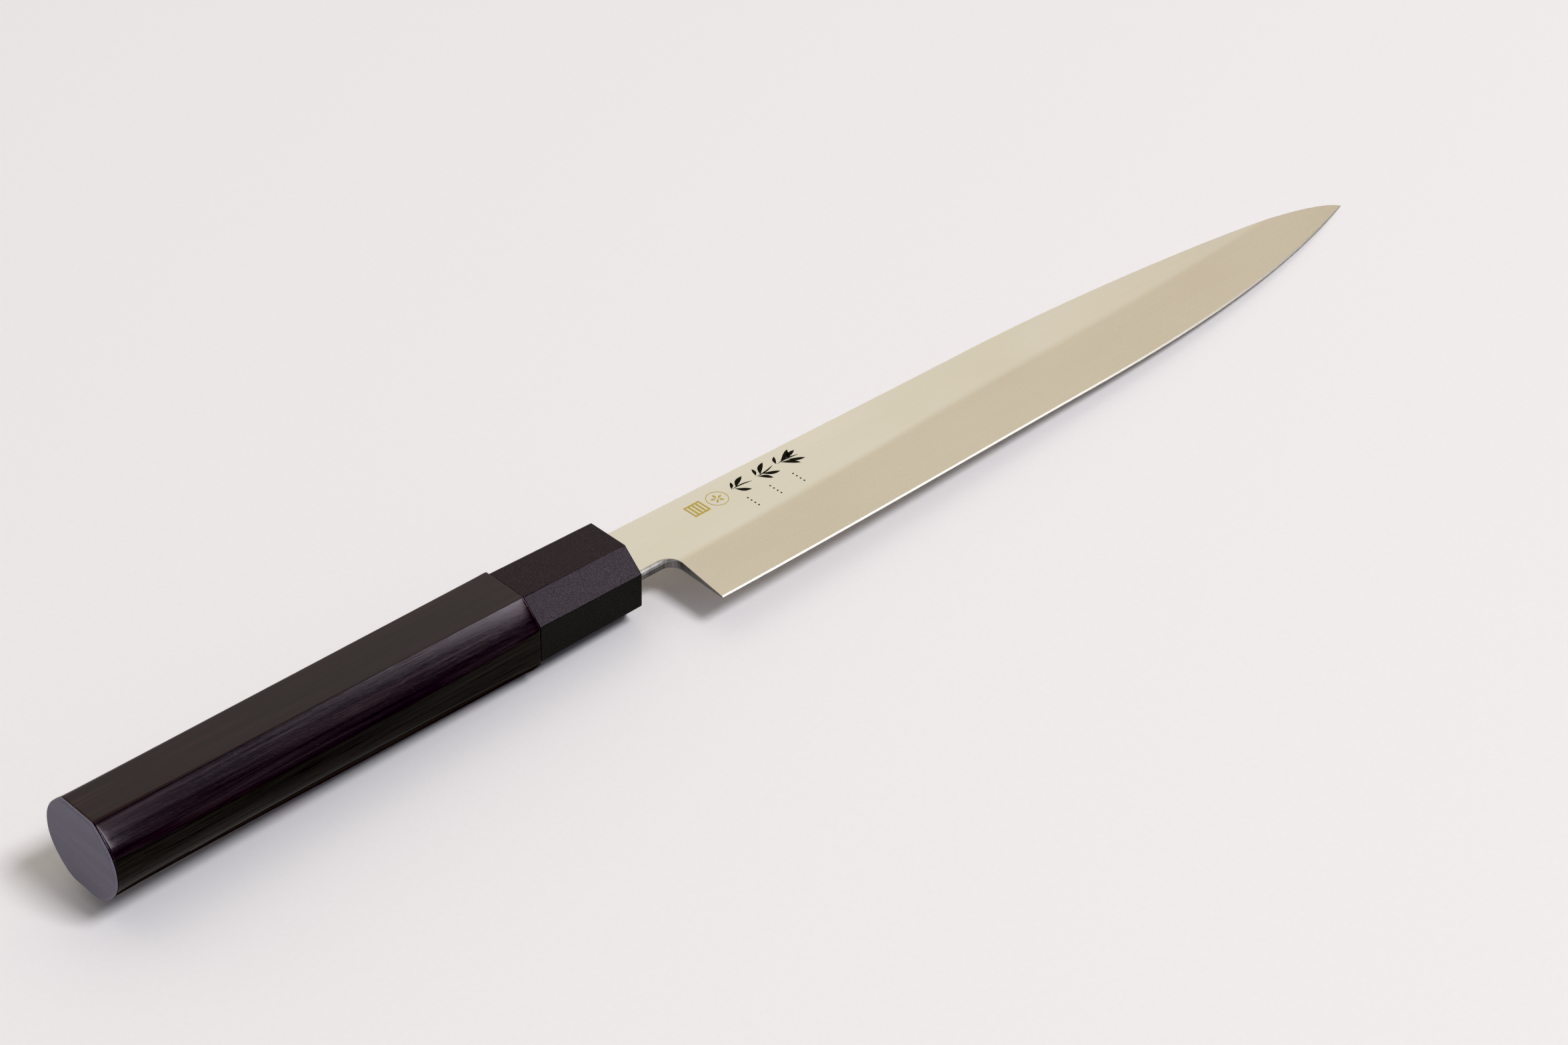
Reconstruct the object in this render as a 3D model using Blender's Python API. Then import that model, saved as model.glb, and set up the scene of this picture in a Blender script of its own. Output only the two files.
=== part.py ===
"""Japanese single-bevel slicing knife with a stick tang in an octagonal handle.

The knife lies on the side of its handle. Local X runs from the ferrule's front face
towards the tip, local Y from the cutting edge towards the spine, and local Z from the
flat back of the blade towards its bevelled face. Local zero is on the handle's axis,
at the ferrule's front face, and the frame empty places it above the resting plane.
"""
import math

import bmesh
import bpy
from mathutils import Vector
from mathutils.geometry import interpolate_bezier

MM = 0.001
FIT_GAP = 0.3 * MM            # clearance between fitted pieces
OVERCUT = 2.0 * MM            # how far a cutter runs past the wall it opens

# Blade blank, seen on its bevelled face.
BLADE_HALF = 1.0 * MM         # half of the blank's thickness
TIP = (222.2 * MM, -7.7 * MM)
SPINE_MID = (110.0 * MM, 6.2 * MM)
NECK_SPINE = 7.9 * MM
NECK_BELLY = -6.6 * MM
CHOIL_RADIUS = 3.0 * MM
HEEL_BACK = 11.3 * MM         # where the heel's back edge starts below the choil
HEEL = (10.9 * MM, -21.7 * MM)
EDGE_MID = (120.0 * MM, -20.7 * MM)
OUTLINE_STEPS = 24

# Bevel ground on the upper face, and the hollow ground on the back.
SHINOGI_NECK = -8.5 * MM      # height of the ridge line at the neck
SHINOGI_MID = (110.0 * MM, -5.7 * MM)
SHINOGI_END = (222.0 * MM, 0.5 * MM)
EDGE_LAND = 0.16 * MM         # thickness left at the cutting edge
URA_DEPTH = 0.25 * MM
URA_RIM = 2.2 * MM
URA_START = 22.0 * MM
URA_END = 205.0 * MM
URA_STATIONS = 14
URA_ARC_STEPS = 8

# Tang.
NECK_INSIDE = 5.0 * MM        # how far the full-width neck enters the ferrule
TANG_ROOT_HALF = 4.0 * MM
TANG_TIP_HALF = 2.2 * MM
TANG_END = -84.0 * MM
BACK_START = 0.5 * MM         # the ground back stops just short of the ferrule
TANG_RELIEF = 0.1 * MM        # how much the tang's back lies below the ground back

# Ferrule: half sizes of its octagon at the front face and at the seam.
FERRULE_LENGTH = 25.8 * MM
FERRULE_FRONT = {"flat": 4.95 * MM, "height": 8.34 * MM, "width": 9.87 * MM, "side": 3.81 * MM}
FERRULE_SEAM = {"flat": 5.06 * MM, "height": 8.80 * MM, "width": 9.91 * MM, "side": 4.06 * MM}
FERRULE_EDGE = 0.35 * MM      # radius along the octagon's edges
FERRULE_NOSE = 0.45 * MM      # rounding of the front rim
FERRULE_WALL = 5.5 * MM       # thickness of the front wall

# Grip: crisp octagon at the seam, melting into an oval at the butt.
GRIP_END = -124.0 * MM
GRIP_SEAM = {"flat": 5.50 * MM, "height": 9.25 * MM, "width": 10.30 * MM, "side": 4.25 * MM}
GRIP_BUTT = {"flat": 4.85 * MM, "height": 9.25 * MM, "width": 10.75 * MM, "side": 3.90 * MM}
GRIP_EDGE = 0.35 * MM         # radius between the flats and the chamfers
GRIP_BELLY_SEAM = 0.5 * MM    # radius between chamfer and side at the seam
GRIP_BELLY_BUTT = 8.5 * MM    # the same at the butt
GRIP_MELT = 1.5               # power by which that radius grows towards the butt
GRIP_SIDE_DIP = 1.55 * MM     # how much lower the side facet is between the two ends
GRIP_DIP_POWER = 0.35         # low, so the dip comes soon after the seam
GRIP_RIM = 0.4 * MM           # chamfer round the butt's face
GRIP_STATIONS = 12

# Dowel, adhesive and seal inside the handle.
DOWEL_RADIUS = 6.5 * MM
DOWEL_END = -58.0 * MM
SLOT_HALF_WIDTH = 5.1 * MM    # slot for the tang, in Y
SLOT_HALF_HEIGHT = 2.1 * MM   # slot for the tang, in Z
TANG_HOLE_END = -87.0 * MM
SEAL_WALL = 0.5 * MM
SEAL_DEPTH = 2.2 * MM

ROUND_SEGMENTS = 48


def clear_scene():
    for item in list(bpy.data.objects):
        bpy.data.objects.remove(item, do_unlink=True)


def collection(name):
    group = bpy.data.collections.new(name)
    bpy.context.scene.collection.children.link(group)
    return group


def material(name, colour, roughness, metallic):
    skin = bpy.data.materials.new(name)
    skin.use_nodes = True
    shader = skin.node_tree.nodes["Principled BSDF"]
    shader.inputs["Base Color"].default_value = (*colour, 1.0)
    shader.inputs["Roughness"].default_value = roughness
    shader.inputs["Metallic"].default_value = metallic
    return skin


def mesh_object(name, mesh, group):
    item = bpy.data.objects.new(name, mesh)
    group.objects.link(item)
    return item


def octagon(section, edge_radius, belly_radius, edge_steps=2, belly_steps=6):
    """A rounded octagon as (y, z) points: eight corners in turn, each with its own arc."""
    flat, height = section["flat"], section["height"]
    width, side = section["width"], section["side"]
    quarter = [(width, side, belly_radius, belly_steps), (flat, height, edge_radius, edge_steps)]
    corners = list(quarter)
    corners += [(-y, z, radius, steps) for y, z, radius, steps in reversed(quarter)]
    corners += [(-y, -z, radius, steps) for y, z, radius, steps in quarter]
    corners += [(y, -z, radius, steps) for y, z, radius, steps in reversed(quarter)]
    points = []
    for index, (y, z, radius, steps) in enumerate(corners):
        before = Vector(corners[index - 1][:2])
        after = Vector(corners[(index + 1) % len(corners)][:2])
        points += corner_arc(before, Vector((y, z)), after, radius, steps)
    return points


def corner_arc(before, corner, after, radius, steps):
    """Points of the arc that rounds one corner between its two straight sides."""
    to_before = (before - corner).normalized()
    to_after = (after - corner).normalized()
    half_angle = to_before.angle(to_after) / 2
    bisector = (to_before + to_after).normalized()
    centre = corner + bisector * (radius / math.sin(half_angle))
    tangent = radius / math.tan(half_angle)
    start = (corner + to_before * tangent - centre).normalized()
    end = (corner + to_after * tangent - centre).normalized()
    return [centre + start.slerp(end, step / steps) * radius for step in range(steps + 1)]


def blend(first, second, share):
    return {key: first[key] + (second[key] - first[key]) * share for key in first}


def inset(section, distance):
    """The same octagon with every side moved in by a distance."""
    corner_shift = distance * math.tan(math.pi / 8)
    return {
        "flat": section["flat"] - corner_shift,
        "height": section["height"] - distance,
        "width": section["width"] - distance,
        "side": section["side"] - corner_shift,
    }


def loft(name, rings, group):
    """A closed solid through rings of equal point count, with flat ends."""
    shape = bmesh.new()
    loops = [[shape.verts.new(point) for point in ring] for ring in rings]
    for first, second in zip(loops, loops[1:]):
        for index, vertex in enumerate(first):
            following = (index + 1) % len(first)
            shape.faces.new((vertex, first[following], second[following], second[index]))
    shape.faces.new(loops[0])
    shape.faces.new(loops[-1])
    bmesh.ops.recalc_face_normals(shape, faces=shape.faces)
    mesh = bpy.data.meshes.new(name)
    shape.to_mesh(mesh)
    shape.free()
    return mesh_object(name, mesh, group)


def plate(name, outline, half_thickness, group):
    """A flat outline as a 2D curve, extruded both ways and turned into a closed mesh."""
    curve = bpy.data.curves.new(name + "_outline", "CURVE")
    curve.dimensions = "2D"
    curve.fill_mode = "BOTH"
    curve.extrude = half_thickness
    spline = curve.splines.new("POLY")
    spline.points.add(len(outline) - 1)
    for point, (x, y) in zip(spline.points, outline):
        point.co = (x, y, 0.0, 1.0)
    spline.use_cyclic_u = True
    drawn = bpy.data.objects.new(name + "_outline", curve)
    group.objects.link(drawn)
    evaluated = drawn.evaluated_get(bpy.context.evaluated_depsgraph_get())
    mesh = bpy.data.meshes.new_from_object(evaluated)
    mesh.name = name
    bpy.data.objects.remove(drawn, do_unlink=True)
    shape = bmesh.new()
    shape.from_mesh(mesh)
    bmesh.ops.remove_doubles(shape, verts=shape.verts, dist=0.01 * MM)
    bmesh.ops.recalc_face_normals(shape, faces=shape.faces)
    shape.to_mesh(mesh)
    shape.free()
    mesh.materials.clear()
    return mesh_object(name, mesh, group)


def box(name, low, high, group):
    shape = bmesh.new()
    bmesh.ops.create_cube(shape, size=1.0)
    for vertex in shape.verts:
        vertex.co = [a + (b - a) * (c + 0.5) for a, b, c in zip(low, high, vertex.co)]
    mesh = bpy.data.meshes.new(name)
    shape.to_mesh(mesh)
    shape.free()
    return mesh_object(name, mesh, group)


def rod(name, radius, x_low, x_high, group):
    """A round bar along the handle's axis."""
    shape = bmesh.new()
    bmesh.ops.create_cone(
        shape,
        cap_ends=True,
        segments=ROUND_SEGMENTS,
        radius1=radius,
        radius2=radius,
        depth=x_high - x_low,
    )
    mesh = bpy.data.meshes.new(name)
    shape.to_mesh(mesh)
    shape.free()
    item = mesh_object(name, mesh, group)
    item.location = ((x_low + x_high) / 2, 0.0, 0.0)
    item.rotation_euler = (0.0, math.pi / 2, 0.0)
    return item


def cut(target, cutter):
    cutter.hide_render = True
    cutter.display_type = "WIRE"
    modifier = target.modifiers.new(cutter.name, "BOOLEAN")
    modifier.operation = "DIFFERENCE"
    modifier.solver = "EXACT"
    modifier.object = cutter


def bezier(start, start_handle, end_handle, end, steps=OUTLINE_STEPS):
    """Points of one cubic from start to end, its last point left to the next stretch."""
    curve = interpolate_bezier(
        Vector(start).to_3d(), Vector(start_handle).to_3d(),
        Vector(end_handle).to_3d(), Vector(end).to_3d(), steps + 1,
    )
    return [(point.x, point.y) for point in curve[:-1]]


def edge_line():
    """The cutting edge from the heel: nearly straight, then sweeping up to the tip."""
    heel_run = bezier(HEEL, (47.0 * MM, -22.0 * MM), (94.0 * MM, -20.9 * MM), EDGE_MID)
    belly_run = bezier(EDGE_MID, (172.0 * MM, -20.3 * MM), (200.0 * MM, -14.6 * MM), TIP)
    return heel_run + belly_run + [TIP]


def spine_line():
    """The spine from the tip back to the neck: a drop at the point, then nearly straight."""
    drop = bezier(TIP, (215.5 * MM, -1.5 * MM), (153.0 * MM, 5.7 * MM), SPINE_MID)
    run = bezier(SPINE_MID, (80.0 * MM, 6.5 * MM), (44.0 * MM, 7.2 * MM), (0.0, NECK_SPINE))
    return drop[1:] + run + [(0.0, NECK_SPINE)]


def shinogi_height(x):
    """Height of the ridge line: low along the heel, rising to meet the spine at the tip."""
    handle = (60.0 * MM, SHINOGI_NECK)
    points = bezier((-5.0 * MM, SHINOGI_NECK), handle, (75.0 * MM, -6.3 * MM), SHINOGI_MID)
    points += bezier(SHINOGI_MID, (150.0 * MM, -5.0 * MM), (195.0 * MM, -4.0 * MM), SHINOGI_END)
    points.append(SHINOGI_END)
    return height_on(points, x)


def height_on(points, x):
    """Straight-line height of a polyline with rising x."""
    for (x0, y0), (x1, y1) in zip(points, points[1:]):
        if x <= x1:
            return y0 + (y1 - y0) * (x - x0) / (x1 - x0)
    return points[-1][1]


def choil_arc():
    """The round corner from the neck's lower side down to the heel's back edge."""
    centre = (HEEL_BACK - CHOIL_RADIUS, NECK_BELLY - CHOIL_RADIUS)
    steps = 8
    angles = [math.pi / 2 * (1 - step / steps) for step in range(steps + 1)]
    return [
        (centre[0] + CHOIL_RADIUS * math.cos(angle), centre[1] + CHOIL_RADIUS * math.sin(angle))
        for angle in angles
    ]


def blank_outline():
    """The whole plate, tang included, anticlockwise from the tang's far end."""
    inside = -NECK_INSIDE
    tang_belly = [(TANG_END, -TANG_TIP_HALF), (inside, -TANG_ROOT_HALF), (inside, NECK_BELLY)]
    tang_spine = [(inside, NECK_SPINE), (inside, TANG_ROOT_HALF), (TANG_END, TANG_TIP_HALF)]
    return tang_belly + choil_arc() + edge_line() + spine_line() + tang_spine


def bevel_section(x, edge_height):
    """The wedge ground away above the line from the ridge down to the edge."""
    ridge = Vector((shinogi_height(x), BLADE_HALF))
    slope = Vector((edge_height, EDGE_LAND - BLADE_HALF)) - ridge
    above = ridge - slope * 0.2
    below = ridge + slope * 1.06
    top = BLADE_HALF + OVERCUT
    outside = below.x - OVERCUT
    corners = (above, below, (outside, below.y), (outside, top), (above.x, top))
    return [(x, y, z) for y, z in corners]


def bevel_cutter(group):
    """The grind follows the edge, and runs on past the heel and past the tip."""
    stations = [(x, y) for x, y in edge_line()]
    first, last = stations[0], stations[-1]
    stations.insert(0, (first[0] - 4 * OVERCUT, first[1]))
    stations.append((last[0] + OVERCUT, last[1] + OVERCUT / 4))
    return loft("bevel_cutter", [bevel_section(x, y) for x, y in stations], group)


def ura_section(x, low, high, depth):
    """A shallow lens across the back, between the edge rim and the spine rim."""
    back = -BLADE_HALF
    ring = []
    for step in range(URA_ARC_STEPS + 1):
        share = step / URA_ARC_STEPS
        rise = depth * (1 - (2 * share - 1) ** 2)
        ring.append((x, low + (high - low) * share, back - 0.02 * MM + rise))
    ring += [(x, high, back - OVERCUT), (x, low, back - OVERCUT)]
    return ring


def ura_cutter(group):
    """The hollow starts and ends at nothing, and follows both outlines at a rim's width."""
    edge = edge_line()
    spine = sorted(spine_line())
    rings = []
    for station in range(URA_STATIONS + 1):
        share = station / URA_STATIONS
        x = URA_START + (URA_END - URA_START) * share
        depth = URA_DEPTH * math.sin(math.pi * share) ** 0.35
        low = height_on(edge, x) + URA_RIM
        high = height_on(spine, x) - URA_RIM
        rings.append(ura_section(x, low, high, depth))
    return loft("ura_cutter", rings, group)


def make_blade(parts, cutters):
    """Blank with its tang, then the bevel, the back hollow and the tang's relief."""
    blade = plate("blade", blank_outline(), BLADE_HALF, parts)
    cut(blade, bevel_cutter(cutters))
    cut(blade, ura_cutter(cutters))
    relief_low = (TANG_END - OVERCUT, NECK_BELLY - OVERCUT, -BLADE_HALF - OVERCUT)
    relief_high = (BACK_START, NECK_SPINE + OVERCUT, -BLADE_HALF + TANG_RELIEF)
    cut(blade, box("tang_relief", relief_low, relief_high, cutters))
    blade.data.materials.append(material("blade_steel", (0.66, 0.63, 0.57), 0.30, 1.0))
    return blade


def placed(section_points, x):
    return [(x, y, z) for y, z in section_points]


def make_ferrule(parts, cutters):
    """Moulded octagonal collar: solid front wall with the blade's slot, round bore behind."""
    nose = octagon(inset(FERRULE_FRONT, FERRULE_NOSE), FERRULE_EDGE, FERRULE_EDGE, 2, 2)
    front = octagon(FERRULE_FRONT, FERRULE_EDGE, FERRULE_EDGE, 2, 2)
    seam = octagon(FERRULE_SEAM, FERRULE_EDGE, FERRULE_EDGE, 2, 2)
    rings = [placed(nose, 0.0), placed(front, -FERRULE_NOSE), placed(seam, -FERRULE_LENGTH)]
    ferrule = loft("ferrule", rings, parts)
    bore_start = -FERRULE_LENGTH - OVERCUT
    cut(ferrule, rod("ferrule_bore", DOWEL_RADIUS + FIT_GAP, bore_start, -FERRULE_WALL, cutters))
    room = SEAL_WALL + 2 * FIT_GAP
    slot_low = (-FERRULE_WALL - OVERCUT, NECK_BELLY - room, -BLADE_HALF - room)
    slot_high = (OVERCUT, NECK_SPINE + room, BLADE_HALF + room)
    cut(ferrule, box("ferrule_slot", slot_low, slot_high, cutters))
    ferrule.data.materials.append(material("ferrule_resin", (0.032, 0.026, 0.030), 0.42, 0.0))
    return ferrule


def grip_ring(share, rim=0.0):
    """Section of the grip at a share of the way from the seam to the butt."""
    section = inset(blend(GRIP_SEAM, GRIP_BUTT, share), rim)
    section["side"] -= GRIP_SIDE_DIP * max(math.sin(math.pi * share), 0.0) ** GRIP_DIP_POWER
    growth = GRIP_BELLY_BUTT - GRIP_BELLY_SEAM
    belly_radius = GRIP_BELLY_SEAM + growth * share ** GRIP_MELT
    return octagon(section, GRIP_EDGE, belly_radius - rim)


def make_grip(parts, cutters):
    """Laminated wood body with a blind bore for the dowel and a hole for the tang's end."""
    seam_x = -FERRULE_LENGTH - FIT_GAP
    rings = []
    for station in range(GRIP_STATIONS + 1):
        share = (1 - math.cos(math.pi * station / GRIP_STATIONS)) / 2
        x = seam_x + (GRIP_END + GRIP_RIM - seam_x) * share
        rings.append(placed(grip_ring(share), x))
    rings.append(placed(grip_ring(1.0, GRIP_RIM), GRIP_END))
    grip = loft("grip", rings, parts)
    bore_end = DOWEL_END - FIT_GAP
    cut(grip, rod("grip_bore", DOWEL_RADIUS + FIT_GAP, bore_end, seam_x + OVERCUT, cutters))
    hole_low = (TANG_HOLE_END, -SLOT_HALF_WIDTH, -SLOT_HALF_HEIGHT)
    hole_high = (bore_end + OVERCUT, SLOT_HALF_WIDTH, SLOT_HALF_HEIGHT)
    cut(grip, box("grip_tang_hole", hole_low, hole_high, cutters))
    grip.data.materials.append(material("grip_wood", (0.030, 0.021, 0.021), 0.50, 0.0))
    return grip


def make_dowel(parts, cutters):
    """Round wooden dowel, slotted from end to end for the tang."""
    dowel = rod("dowel", DOWEL_RADIUS, DOWEL_END, -FERRULE_WALL - FIT_GAP, parts)
    slot_low = (DOWEL_END - OVERCUT, -SLOT_HALF_WIDTH, -SLOT_HALF_HEIGHT)
    slot_high = (-FERRULE_WALL + OVERCUT, SLOT_HALF_WIDTH, SLOT_HALF_HEIGHT)
    cut(dowel, box("dowel_slot", slot_low, slot_high, cutters))
    dowel.data.materials.append(material("dowel_wood", (0.62, 0.46, 0.28), 0.70, 0.0))
    dowel.data.shade_smooth()
    dowel.data.set_sharp_from_angle(angle=math.radians(30))
    return dowel


def make_tang_adhesive(parts, cutters):
    """Sleeve of cured epoxy round the tang, closed behind the tang's end."""
    half_width = SLOT_HALF_WIDTH - FIT_GAP
    half_height = SLOT_HALF_HEIGHT - FIT_GAP
    mouth = -FERRULE_WALL - 2 * FIT_GAP
    low = (TANG_HOLE_END + FIT_GAP, -half_width, -half_height)
    adhesive = box("tang_adhesive", low, (mouth, half_width, half_height), parts)
    pocket = [
        (TANG_END - FIT_GAP, -TANG_TIP_HALF - FIT_GAP),
        (-NECK_INSIDE, -TANG_ROOT_HALF - FIT_GAP),
        (-NECK_INSIDE, TANG_ROOT_HALF + FIT_GAP),
        (TANG_END - FIT_GAP, TANG_TIP_HALF + FIT_GAP),
    ]
    cut(adhesive, plate("adhesive_pocket", pocket, BLADE_HALF + FIT_GAP, cutters))
    adhesive.data.materials.append(material("cured_epoxy", (0.55, 0.42, 0.20), 0.35, 0.0))
    return adhesive


def make_slot_seal(parts, cutters):
    """Bead of sealant that closes the ferrule's slot round the neck of the blade."""
    outer = SEAL_WALL + FIT_GAP
    low = (-SEAL_DEPTH, NECK_BELLY - outer, -BLADE_HALF - outer)
    high = (-FIT_GAP, NECK_SPINE + outer, BLADE_HALF + outer)
    seal = box("slot_seal", low, high, parts)
    hole_low = (-SEAL_DEPTH - OVERCUT, NECK_BELLY - FIT_GAP, -BLADE_HALF - FIT_GAP)
    hole_high = (OVERCUT, NECK_SPINE + FIT_GAP, BLADE_HALF + FIT_GAP)
    cut(seal, box("seal_hole", hole_low, hole_high, cutters))
    seal.data.materials.append(material("seal_compound", (0.020, 0.018, 0.020), 0.60, 0.0))
    return seal


def frame_empty(group):
    """Places the knife so that the origin is under the middle of its box, at its lowest face."""
    frame = bpy.data.objects.new("knife_frame", None)
    group.objects.link(frame)
    frame.location = (
        -(TIP[0] + GRIP_END) / 2,
        -(HEEL[1] + GRIP_BUTT["width"]) / 2,
        GRIP_BUTT["height"],
    )
    return frame


def main():
    clear_scene()
    parts = collection("slicing_knife")
    cutters = collection("cutters")
    frame = frame_empty(parts)
    makers = (make_blade, make_ferrule, make_grip, make_dowel, make_tang_adhesive, make_slot_seal)
    for make in makers:
        make(parts, cutters)
    for item in list(parts.objects) + list(cutters.objects):
        if item is not frame:
            item.parent = frame


main()
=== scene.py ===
"""Looks of the single-bevel slicing knife: fine meshes, materials, light, floor and camera.

Local millimetres are used for shapes: X from the ferrule's front face to the tip, Y from the
cutting edge to the spine, Z from the flat back to the bevelled face, zero on the handle's axis.
"""
import math

import bmesh
import bpy
import numpy as np
from mathutils import Matrix, Vector
from mathutils.geometry import interpolate_bezier


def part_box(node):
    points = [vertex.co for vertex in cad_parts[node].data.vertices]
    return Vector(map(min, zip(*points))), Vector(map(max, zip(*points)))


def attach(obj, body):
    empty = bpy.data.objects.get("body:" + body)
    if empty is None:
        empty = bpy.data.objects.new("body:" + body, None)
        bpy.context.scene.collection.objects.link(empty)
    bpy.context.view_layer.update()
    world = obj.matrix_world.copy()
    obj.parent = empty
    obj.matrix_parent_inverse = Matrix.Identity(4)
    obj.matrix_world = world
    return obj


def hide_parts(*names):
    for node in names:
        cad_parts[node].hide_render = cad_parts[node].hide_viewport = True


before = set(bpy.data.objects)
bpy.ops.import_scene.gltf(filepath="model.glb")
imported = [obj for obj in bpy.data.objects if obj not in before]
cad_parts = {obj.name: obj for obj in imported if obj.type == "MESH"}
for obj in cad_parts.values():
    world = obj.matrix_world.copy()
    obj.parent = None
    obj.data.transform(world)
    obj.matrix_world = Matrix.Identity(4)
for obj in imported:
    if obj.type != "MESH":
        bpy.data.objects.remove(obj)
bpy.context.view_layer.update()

MM = 0.001
FERRULE_LOW, FERRULE_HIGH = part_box("ferrule")
GRIP_LOW, GRIP_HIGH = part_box("grip")
BLADE_LOW, BLADE_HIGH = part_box("blade")
ORIGIN = Vector((FERRULE_HIGH.x, (GRIP_LOW.y + GRIP_HIGH.y) / 2, (GRIP_LOW.z + GRIP_HIGH.z) / 2))

# Blade outline, the same curves as the CAD blank.
HALF = (BLADE_HIGH.z - BLADE_LOW.z) / 2 / MM
TIP = ((BLADE_HIGH.x - ORIGIN.x) / MM, -7.7)
SPINE_MID = (110.0, 6.2)
NECK_SPINE = 7.9
NECK_BELLY = -6.6
NECK_INSIDE = -5.0
CHOIL_RADIUS = 3.0
HEEL_BACK = 11.3
HEEL = (10.9, -21.7)
EDGE_MID = (120.0, -20.7)
RIDGE_NECK = -8.5
RIDGE_MID = (110.0, -5.7)
RIDGE_END = (222.0, 0.5)
TANG_END = -84.0
TANG_ROOT = (-5.7, 4.0)
TANG_TIP_HALF = 2.2

# Blade surfaces.
EDGE_LAND = 0.13              # thickness left at the very edge
FINAL_WIDTH = 0.52            # the bright final bevel along the edge
FINAL_SLOPE = math.tan(math.radians(24.5))
RIDGE_SOFTNESS = 0.10         # height over which flat and bevel run into each other
FULL_HEIGHT = 9.0             # blade height below which every feature shrinks in proportion
LEAST_SHRINK = 0.05
HOLLOW_DEPTH = 0.25           # shallow hollow of the back, inside a flat rim
HOLLOW_RIM = 2.2
HOLLOW_START = 22.0
HOLLOW_END = 205.0
HOLLOW_POWER = 0.35
SPINE_EASE = 0.18             # radii of the eased outline
BACK_EASE = 0.12
TANG_EASE = 0.10
NECK_EASE = 0.78
HEEL_EASE = 0.10
HEEL_INWARD = (0.7, 0.7)      # inward direction at the heel's corner
LEAST_EASE = 0.02             # share of the spine's easing left at the point
EASE_RATE = 1.15              # how the easing falls from neck to heel round the choil
EASE_POWER = 0.8
FRONT_ROOM = 0.62             # most of the plate's thickness that each easing may take
BACK_ROOM = 0.25
DROP_ROOM = 0.7
PROBE = 0.01
NECK_MIDDLE = (NECK_SPINE + NECK_BELLY) / 2
NECK_HALF = (NECK_SPINE - NECK_BELLY) / 2

# Blade mesh: steps along the outline, and rows across it as shares or as distances.
TANG_STEPS = 8
NECK_STEPS = 14
CHOIL_STEPS = 18
BLADE_COLUMNS = 190
EVEN_SHARE = 0.45             # the rest of the spacing crowds the columns at both ends
ARC_STEPS = 4
SHOULDER_ROWS = (0.03, 0.05)  # just before and just after the final bevel's shoulder
BEVEL_ROWS = (0.03, 0.2, 0.4, 0.6, 0.8)
RIDGE_ROWS = (-1.1, -0.75, -0.4, 0.0, 0.4, 0.75, 1.1)
RIDGE_CLEARANCE = 2.4
FLAT_ROWS = (0.2, 0.4, 0.6, 0.8, 0.97)
FINAL_ROWS = 3
NECK_ROWS = 3                 # the neck's first rows crowd behind its rounded band
NECK_ROW_PITCH = 40
ROW_GAP = 1.02
HEEL_LEAN = 0.14              # keeps the first full column clear of the choil's last one
# BAND and WALL are one wall steel in a lighter and a darker copy: painted light on the rounded band
# off the face, painted shade on the walls below it and along the edge.
FACE, FINAL, BAND, WALL = range(4)

# Light: radiance of the room with its pale wall, and four panels above the knife.
WALL_DIRECTION = (0.45, 0.68, 0.50)
WORLD_STOPS = (
    (0.60, (0.27, 0.27, 0.31)),
    (0.88, (0.60, 0.54, 0.43)),
    (0.966, (0.695, 0.625, 0.505)),
    (0.992, (0.87, 0.85, 0.755)),
)
LIGHT_DISTANCE = 4.5
SOFTBOX_DIRECTION = (0.20, -0.50, 0.84)
SOFTBOX_SIZE = (1.5, 1.35)
SOFTBOX_RADIANCE = 21.9
SOFTBOX_COLOUR = (0.965, 0.97, 1.0)
FILL_DIRECTION = (0.10, 0.50, 0.86)
FILL_SIZE = (3.0, 3.0)
FILL_RADIANCE = 0.4
WINDOW_DIRECTION = (0.555, -0.575, 0.60)
WINDOW_SIZE = (0.74, 0.92)
WINDOW_RADIANCE = 17.0
WINDOW_COLOUR = (0.95, 0.97, 1.0)
GLINT_DIRECTION = (0.57, -0.07, 0.82)
GLINT_SIZE = (1.6, 1.2)
GLINT_RADIANCE = 3.0
BLACK_POINT = 0.012

# Meshes: angles past which an edge stays sharp, and how close points are joined.
BLADE_SHARP = 38.0
HANDLE_SHARP = 50.0
CUT_SHARP = 30.0
SEAL_SHARP = 45.0
WELD = 0.0005
FINE_WELD = 0.0001
FLAT_WEIGHT = 60              # how strongly large faces set the shading normals

# Handle sections are rounded octagons: half flat, half height, half width, half side.
EDGE_STEPS = 5
GRIP_BELLY_STEPS = 12
FACET_SHARES = (0.12, 0.3, 0.5, 0.7, 0.88)
FERRULE_LENGTH = (FERRULE_HIGH.x - FERRULE_LOW.x) / MM
FERRULE_FRONT = (4.95, 8.34, 9.87, 3.81)
FERRULE_SEAM = (5.06, 8.80, 9.91, 4.06)
FERRULE_WALL = 5.5
FERRULE_PROUD = 0.30          # the moulded front stands this far past the CAD face
FERRULE_NOSE = 0.28
FERRULE_EDGE = 0.38
FERRULE_SEAM_EASE = 0.12
FERRULE_SEAM_EDGE = 0.36
SLOT_GAP = 0.55
GRIP_SEAM_X = (GRIP_HIGH.x - ORIGIN.x) / MM
GRIP_END_X = (GRIP_LOW.x - ORIGIN.x) / MM
GRIP_SEAM = (5.50, 9.25, 10.30, 4.25)
GRIP_BUTT = (4.85, 9.25, 10.75, 3.90)
GRIP_STATIONS = 46
SEAM_EASE = 0.22
SIDE_DIP = 1.55               # how far the side facets narrow towards the middle
DIP_POWER = 0.35
GRIP_EDGE = 0.32              # corner radii, growing from the seam to the butt
BUTT_EDGE = 1.30
BUTT_KEEL = 6.0
GRIP_BELLY = 0.5
BELLY_GROWTH = 8.0
LEAST_RADIUS = 0.3
BUTT_RIM = 0.70
BUTT_SKIN = 0.7               # share of the rim that has the end grain's finish
CROWN_SEAM = 0.16             # how far the slanting facets swell between their edges
CROWN_BUTT = 0.08
BORE_RADIUS = 6.8
BORE_STEPS = 64
DOWEL_END = -58.3
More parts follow.
